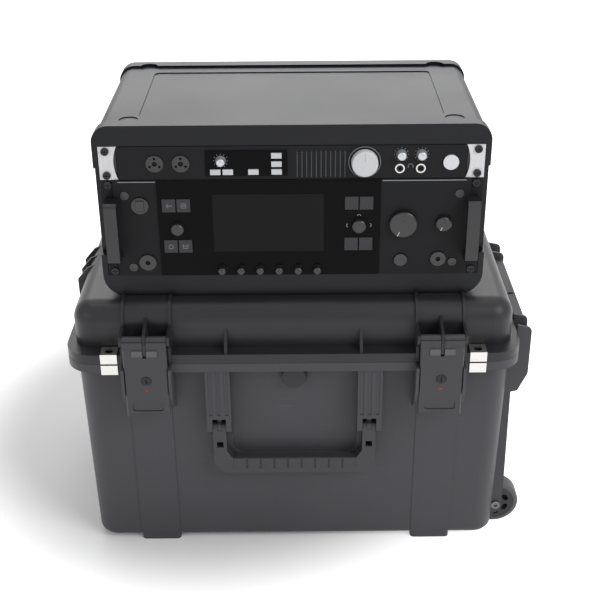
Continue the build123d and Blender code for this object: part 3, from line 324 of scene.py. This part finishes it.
def finishTree(tree, start, end, geometry):
    realize = tree.nodes.new("GeometryNodeRealizeInstances")
    place = tree.nodes.new("GeometryNodeTransform")
    place.inputs["Rotation"].default_value = (math.pi / 2, 0, 0)
    skin = tree.nodes.new("GeometryNodeSetMaterial")
    tree.links.new(geometry, realize.inputs["Geometry"])
    tree.links.new(realize.outputs["Geometry"], place.inputs["Geometry"])
    tree.links.new(start.outputs["Place"], place.inputs["Translation"])
    tree.links.new(place.outputs["Geometry"], skin.inputs["Geometry"])
    tree.links.new(start.outputs["Material"], skin.inputs["Material"])
    tree.links.new(skin.outputs["Geometry"], end.inputs["Geometry"])


def buildDotGrid():
    tree, start, end = newTree("dotGrid", [
        ("Columns", "NodeSocketInt", 11), ("Rows", "NodeSocketInt", 12), ("Width", "NodeSocketFloat", 0.06),
        ("Height", "NodeSocketFloat", 0.03), ("Radius", "NodeSocketFloat", 0.0005),
        ("Thickness", "NodeSocketFloat", 0.0003), ("Place", "NodeSocketVector", (0, 0, 0)),
        ("Material", "NodeSocketMaterial", None)])
    add, link = tree.nodes.new, tree.links.new
    grid = add("GeometryNodeMeshGrid")
    dot = add("GeometryNodeMeshCylinder")
    dot.inputs["Vertices"].default_value = 10
    spread = add("GeometryNodeInstanceOnPoints")
    for source, target in (("Width", "Size X"), ("Height", "Size Y"), ("Columns", "Vertices X"),
                           ("Rows", "Vertices Y")):
        link(start.outputs[source], grid.inputs[target])
    link(start.outputs["Radius"], dot.inputs["Radius"])
    link(start.outputs["Thickness"], dot.inputs["Depth"])
    link(grid.outputs["Mesh"], spread.inputs["Points"])
    link(dot.outputs["Mesh"], spread.inputs["Instance"])
    finishTree(tree, start, end, spread.outputs["Instances"])
    return tree


def buildTickArc():
    tree, start, end = newTree("tickArc", [
        ("Ticks", "NodeSocketInt", 11), ("Radius", "NodeSocketFloat", 0.009),
        ("Start", "NodeSocketFloat", 0.0), ("Sweep", "NodeSocketFloat", 5.2),
        ("Tick", "NodeSocketVector", (0.0003, 0.0012, 0.0003)), ("Place", "NodeSocketVector", (0, 0, 0)),
        ("Material", "NodeSocketMaterial", None)])
    add, link = tree.nodes.new, tree.links.new
    arc = add("GeometryNodeCurveArc")
    points = add("GeometryNodeCurveToPoints")
    points.mode = "EVALUATED"
    tick = add("GeometryNodeMeshCube")
    spread = add("GeometryNodeInstanceOnPoints")
    link(start.outputs["Ticks"], arc.inputs["Resolution"])
    link(start.outputs["Radius"], arc.inputs["Radius"])
    link(start.outputs["Start"], arc.inputs["Start Angle"])
    link(start.outputs["Sweep"], arc.inputs["Sweep Angle"])
    link(arc.outputs["Curve"], points.inputs["Curve"])
    link(start.outputs["Tick"], tick.inputs["Size"])
    link(points.outputs["Points"], spread.inputs["Points"])
    link(tick.outputs["Mesh"], spread.inputs["Instance"])
    align = add("FunctionNodeAlignRotationToVector")
    align.axis = "X"
    align.pivot_axis = "Z"
    link(points.outputs["Tangent"], align.inputs["Vector"])
    link(align.outputs["Rotation"], spread.inputs["Rotation"])
    finishTree(tree, start, end, spread.outputs["Instances"])
    return tree


def ringMesh(name, x, z, radius, faceY, width, lift, steps=48):
    shape = bmesh.new()
    loops = []
    for r, y in ((radius - width / 2, faceY), (radius - width / 2, faceY - lift),
                 (radius + width / 2, faceY - lift), (radius + width / 2, faceY)):
        angles = [2 * math.pi * i / steps for i in range(steps)]
        loops.append([shape.verts.new((middleX + (x + r * math.cos(a)) / 1000, y,
                                       (z + r * math.sin(a)) / 1000)) for a in angles])
    for k in range(4):
        inner, outer = loops[k], loops[(k + 1) % 4]
        for i in range(steps):
            j = (i + 1) % steps
            shape.faces.new((inner[i], inner[j], outer[j], outer[i]))
    bmesh.ops.recalc_face_normals(shape, faces=shape.faces)
    mesh = bpy.data.meshes.new(name)
    shape.to_mesh(mesh)
    shape.free()
    return mesh


def strokeMesh(name, strokes, faceY, width, lift=0.00025):
    shape = bmesh.new()
    for stroke in strokes:
        for (x0, z0), (x1, z1) in zip(stroke, stroke[1:]):
            along = Vector((x1 - x0, z1 - z0)).normalized() * width / 2
            side = Vector((-along.y, along.x))
            corners = [Vector((x0, z0)) - along - side, Vector((x1, z1)) + along - side,
                       Vector((x1, z1)) + along + side, Vector((x0, z0)) - along + side]
            front = [shape.verts.new((middleX + c.x / 1000, faceY - lift, c.y / 1000)) for c in corners]
            back = [shape.verts.new((middleX + c.x / 1000, faceY + 0.0001, c.y / 1000)) for c in corners]
            shape.faces.new(front)
            shape.faces.new(back[::-1])
            for i in range(4):
                j = (i + 1) % 4
                shape.faces.new((front[i], back[i], back[j], front[j]))
    bmesh.ops.recalc_face_normals(shape, faces=shape.faces)
    mesh = bpy.data.meshes.new(name)
    shape.to_mesh(mesh)
    shape.free()
    return mesh


# Level meter: columns of small lamps on the one-unit device
meter = {"left": 6.7, "right": 66.5, "low": 553.6, "high": 584.9, "columns": 11, "rows": 12, "radius": 0.55}
dotGrid = buildDotGrid()
meterMesh = growMesh("meterDots", dotGrid, {
    "Columns": meter["columns"], "Rows": meter["rows"], "Width": (meter["right"] - meter["left"]) / 1000,
    "Height": (meter["high"] - meter["low"]) / 1000, "Radius": meter["radius"] / 1000, "Thickness": 0.0004,
    "Place": (middleX + (meter["left"] + meter["right"]) / 2000, slimFace,
              (meter["low"] + meter["high"]) / 2000), "Material": finishes["printGrey"]})
addPiece("meterDots", meterMesh, "printGrey", "rack")

# Scales round the dials
scales = {
    "inputScale": {"at": (-88.7, 575.0), "radius": 8.6, "ticks": 11, "face": windowFace, "tick": 1.2},
    "phonesScaleA": {"at": (136.7, 581.4), "radius": 8.6, "ticks": 11, "face": slimFace, "tick": 1.2},
    "phonesScaleB": {"at": (161.9, 581.4), "radius": 8.6, "ticks": 11, "face": slimFace, "tick": 1.2},
}
tickArc = buildTickArc()
for name, scale in scales.items():
    x, z = scale["at"]
    mesh = growMesh(name, tickArc, {
        "Ticks": scale["ticks"], "Radius": scale["radius"] / 1000, "Start": math.radians(-60),
        "Sweep": math.radians(300), "Tick": (0.0004, scale["tick"] / 1000, 0.0004),
        "Place": (middleX + x / 1000, scale["face"], z / 1000), "Material": finishes["printWhite"]})
    addPiece(name, mesh, "printWhite", "rack")

rings = {
    "mainDialRing": {"at": (91.0, 571.7), "radius": 20.0, "width": 0.7, "lift": 0.0004, "face": slimFace,
                     "finish": "printGrey"},
    "phonesNutA": {"at": (135.1, 563.6), "radius": 5.3, "width": 1.6, "lift": 0.0026, "face": slimFace,
                   "finish": "plateSteel"},
    "phonesNutB": {"at": (161.2, 563.6), "radius": 5.3, "width": 1.6, "lift": 0.0026, "face": slimFace,
                   "finish": "plateSteel"},
}
for name, ring in rings.items():
    x, z = ring["at"]
    addPiece(name, ringMesh(name, x, z, ring["radius"], ring["face"], ring["width"], ring["lift"]),
             ring["finish"], "rack")

# Plain line pictures on the keys, round the joystick and by the jacks, and painted highlights along the
# side panels' top edges
linework = {
    "backArrow": {"face": keyFace, "width": 0.8, "strokes": [
        [(-153.0, 516.1), (-160.0, 516.1)], [(-157.4, 518.6), (-160.4, 516.1), (-157.4, 513.6)]],
        "body": "keys_upper_left"},
    "gridSquare": {"face": keyFace, "width": 0.8, "strokes": [
        [(-141.0, 513.2), (-135.0, 513.2), (-135.0, 519.0), (-141.0, 519.0), (-141.0, 513.2)],
        [(-141.0, 516.1), (-135.0, 516.1)]], "body": "keys_upper_left"},
    "houseOutline": {"face": keyFace, "width": 0.8, "strokes": [
        [(-159.4, 456.6), (-154.2, 456.6), (-154.2, 460.2), (-156.8, 462.6), (-159.4, 460.2),
         (-159.4, 456.6)]],
        "body": "keys_lower_left"},
    "trayOutline": {"face": keyFace, "width": 0.8, "strokes": [
        [(-141.0, 462.2), (-141.0, 456.8), (-135.0, 456.8), (-135.0, 462.2)],
        [(-139.6, 460.6), (-138.0, 459.0), (-136.4, 460.6)]], "body": "keys_lower_left"},
    "joystickChevrons": {"face": glossFace, "width": 0.9, "strokes": [
        [(83.0, 500.6), (85.1, 502.6), (87.2, 500.6)], [(70.6, 489.0), (68.6, 486.9), (70.6, 484.8)],
        [(99.6, 489.0), (101.6, 486.9), (99.6, 484.8)]], "body": "rack"},
    # Painted highlight: thin grey strips where light catches the side panels' top edges
    "sidePanelEdges": {"face": tallFace, "width": 1.3, "strokes": [
        [(-219.0, 547.4), (-173.0, 547.4)], [(114.5, 547.4), (219.0, 547.4)]], "body": "rack"},
    "headphoneArch": {"face": slimFace, "width": 0.8, "strokes": [
        [(145.6, 564.4), (145.6, 567.0), (147.0, 568.8), (150.2, 568.8), (151.6, 567.0), (151.6, 564.4)]],
        "body": "rack"},
}
for name, work in linework.items():
    mesh = strokeMesh(name, work["strokes"], work["face"], work["width"])
    addPiece(name, mesh, "printGrey", work["body"])

# White pointer lines on the two black volume knobs, at seven o'clock, sizes in mm
pointers = {
    "volumePointer": {"node": "tall_volume_knob", "body": "volume", "inner": 11.0, "outer": 16.0,
                      "width": 1.0, "turn": 243},
    "phonesPointer": {"node": "tall_phones_knob", "body": "phones_volume", "inner": 4.6, "outer": 8.4,
                      "width": 1.0, "turn": 243},
}
for name, pointer in pointers.items():
    low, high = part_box(pointer["node"])
    centreX = (low[0] + high[0]) / 2 - middleX
    centreZ = (low[2] + high[2]) / 2
    turn = math.radians(pointer["turn"])
    ends = [(centreX * 1000 + r * math.cos(turn), centreZ * 1000 + r * math.sin(turn))
            for r in (pointer["inner"], pointer["outer"])]
    addPiece(name, strokeMesh(name, [ends], low[1], pointer["width"]), "printWhite", pointer["body"])

# A small plain red mark under the lock of each latch, sizes in mm
lockMark = {"below": 8, "half": 0.8, "width": 2.6}
for side in ("left", "right"):
    low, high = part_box(f"latch_lock_{side}")
    x = ((low[0] + high[0]) / 2 - middleX) * 1000
    z = low[2] * 1000 - lockMark["below"]
    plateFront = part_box(f"latch_plate_{side}")[0][1]
    name = f"lockDot{side.capitalize()}"
    stroke = [(x - lockMark["half"], z), (x + lockMark["half"], z)]
    addPiece(name, strokeMesh(name, [stroke], plateFront, lockMark["width"]), "dotRed", f"latch_{side}")
print("marks and rings built")

# Studio: floor, light and camera
studio = {"cameraPlace": (-0.00225, -1.46745, 1.073), "pitch": 27.6, "roll": -0.42, "lens": 67.8,
          "sensor": 36, "worldStrength": 0.34}
# The floor's glow middle is the centre of a patch of painted shade on the paper
paper = {"half": 6, "roughness": 0.9, "cloudScale": 2.0, "dark": 0.90, "light": 0.93,
         "paintedShadeMiddle": (-0.15, 0.14, 0.0), "glowNear": 0.06, "glowFar": 0.95, "glowStart": 0.3,
         "glowEnd": 0.55}
lamps = {
    "topSoftbox": {"place": (0.0, 0.25, 2.1), "target": (0, 0, 0.5), "size": (1.8, 1.2), "power": 9},
    "keySoftbox": {"place": (1.5, -1.4, 1.7), "target": (0, 0, 0.3), "size": (1.2, 1.2), "power": 22},
    "fillSoftbox": {"place": (-1.6, -1.5, 1.2), "target": (0, 0, 0.3), "size": (1.2, 1.2), "power": 5},
    "backSoftbox": {"place": (0.0, 2.6, 1.75), "target": (0, 0, 0.5), "size": (3.0, 1.1), "power": 26},
}


# One for rays from the camera, by mirrors and through glass, which see white paper
def seenRays(tree):
    paths = tree.nodes.new("ShaderNodeLightPath")
    seen = tree.nodes.new("ShaderNodeMath")
    seen.operation = "MAXIMUM"
    mirrored = tree.nodes.new("ShaderNodeMath")
    mirrored.operation = "MAXIMUM"
    tree.links.new(paths.outputs["Is Glossy Ray"], mirrored.inputs[0])
    tree.links.new(paths.outputs["Is Transmission Ray"], mirrored.inputs[1])
    tree.links.new(paths.outputs["Is Camera Ray"], seen.inputs[0])
    tree.links.new(mirrored.outputs[0], seen.inputs[1])
    return seen.outputs[0]


def makeFloor():
    mesh = bpy.data.meshes.new("studioFloor")
    half = paper["half"]
    mesh.from_pydata([(-half, -half, 0), (half, -half, 0), (half, half, 0), (-half, half, 0)], [],
                     [(0, 1, 2, 3)])
    floor = bpy.data.objects.new("studioFloor", mesh)
    bpy.context.scene.collection.objects.link(floor)
    material = bpy.data.materials.new("studioPaper")
    material.use_nodes = True
    tree = material.node_tree
    shader = tree.nodes["Principled BSDF"]
    shader.inputs["Roughness"].default_value = paper["roughness"]
    noise = tree.nodes.new("ShaderNodeTexNoise")
    noise.inputs["Scale"].default_value = paper["cloudScale"]
    ramp = tree.nodes.new("ShaderNodeValToRGB")
    ramp.color_ramp.elements[0].color = (paper["dark"], paper["dark"], paper["dark"], 1)
    ramp.color_ramp.elements[1].color = (paper["light"], paper["light"], paper["light"], 1)
    tree.links.new(noise.outputs["Fac"], ramp.inputs["Fac"])
    tree.links.new(ramp.outputs["Color"], shader.inputs["Base Color"])
    # The seen paper is lifted to white away from a point behind the case's left half. This is painted
    # shade: round that point the paper is kept grey where the case's shadow falls, and the real shadow
    # stays as well
    coords = tree.nodes.new("ShaderNodeTexCoord")
    away = tree.nodes.new("ShaderNodeVectorMath")
    away.operation = "DISTANCE"
    away.inputs[1].default_value = paper["paintedShadeMiddle"]
    glow = tree.nodes.new("ShaderNodeMapRange")
    glow.interpolation_type = "SMOOTHSTEP"
    glow.inputs["From Min"].default_value = paper["glowStart"]
    glow.inputs["From Max"].default_value = paper["glowEnd"]
    glow.inputs["To Min"].default_value = paper["glowNear"]
    glow.inputs["To Max"].default_value = paper["glowFar"]
    lift = tree.nodes.new("ShaderNodeMath")
    lift.operation = "MULTIPLY"
    tree.links.new(coords.outputs["Object"], away.inputs[0])
    tree.links.new(away.outputs["Value"], glow.inputs["Value"])
    tree.links.new(seenRays(tree), lift.inputs[0])
    tree.links.new(glow.outputs["Result"], lift.inputs[1])
    shader.inputs["Emission Color"].default_value = (1, 1, 1, 1)
    tree.links.new(lift.outputs[0], shader.inputs["Emission Strength"])
    mesh.materials.append(material)


def makeLamp(name, place, target, size, power):
    data = bpy.data.lights.new(name, "AREA")
    data.shape = "RECTANGLE"
    data.size, data.size_y = size
    data.energy = power
    lamp = bpy.data.objects.new(name, data)
    bpy.context.scene.collection.objects.link(lamp)
    lamp.location = place
    lamp.rotation_euler = (Vector(target) - Vector(place)).to_track_quat("-Z", "Y").to_euler()


def makeWorld():
    world = bpy.data.worlds.new("studioWorld")
    bpy.context.scene.world = world
    world.use_nodes = True
    tree = world.node_tree
    back = tree.nodes["Background"]
    back.inputs["Color"].default_value = (1, 1, 1, 1)
    scaled = tree.nodes.new("ShaderNodeMapRange")
    scaled.inputs["To Min"].default_value = studio["worldStrength"]
    scaled.inputs["To Max"].default_value = 1.0
    tree.links.new(seenRays(tree), scaled.inputs["Value"])
    tree.links.new(scaled.outputs["Result"], back.inputs["Strength"])


makeFloor()
makeWorld()
for name, lamp in lamps.items():
    makeLamp(name, lamp["place"], lamp["target"], lamp["size"], lamp["power"])

cameraData = bpy.data.cameras.new("photoCamera")
cameraData.lens = studio["lens"]
cameraData.sensor_width = studio["sensor"]
camera = bpy.data.objects.new("photoCamera", cameraData)
bpy.context.scene.collection.objects.link(camera)
camera.location = studio["cameraPlace"]
camera.rotation_mode = "XYZ"
camera.rotation_euler = (math.radians(90 - studio["pitch"]), 0, 0)
camera.rotation_euler.rotate_axis("Z", math.radians(studio["roll"]))
bpy.context.scene.camera = camera
bpy.context.scene.view_settings.view_transform = "Standard"
print("studio ready")
